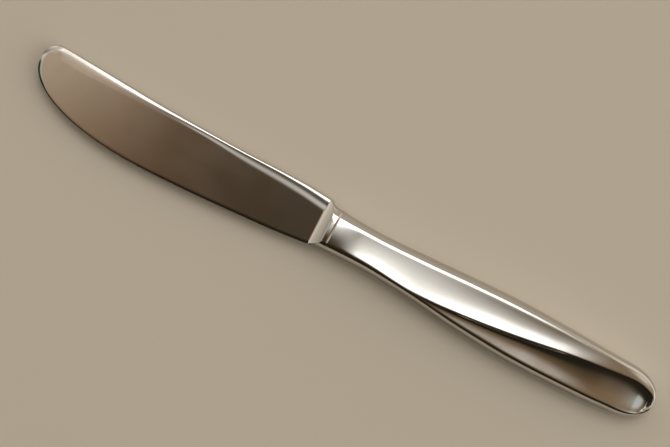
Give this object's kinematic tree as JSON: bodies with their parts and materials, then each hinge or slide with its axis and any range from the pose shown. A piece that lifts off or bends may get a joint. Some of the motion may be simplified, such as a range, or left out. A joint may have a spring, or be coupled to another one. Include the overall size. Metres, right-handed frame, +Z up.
{
  "type": "table knife",
  "caption": "Steel table knife: a long blade with a rounded tip, a sloping bolster, and a hollow handle with a curved ridge and a thumb hollow.",
  "frame": {"origin": "middle of the knife's bounding box, at the height of the table that it lies on", "axes": "+X from the blade's tip to the handle's butt, +Y from the cutting edge to the spine, +Z up from the table"},
  "size_m": [0.21, 0.0214, 0.009],
  "materials": {
    "blade_steel": "satin with a polished neck",
    "handle_steel": "fine lengthwise satin",
    "filler": "hard matt cement, sealed inside the handle"
  },
  "bodies": {
    "root": {"blade": "blade_steel", "upper_shell": "handle_steel", "lower_shell": "handle_steel", "tang_cement": "filler"}
  },
  "joints": []
}
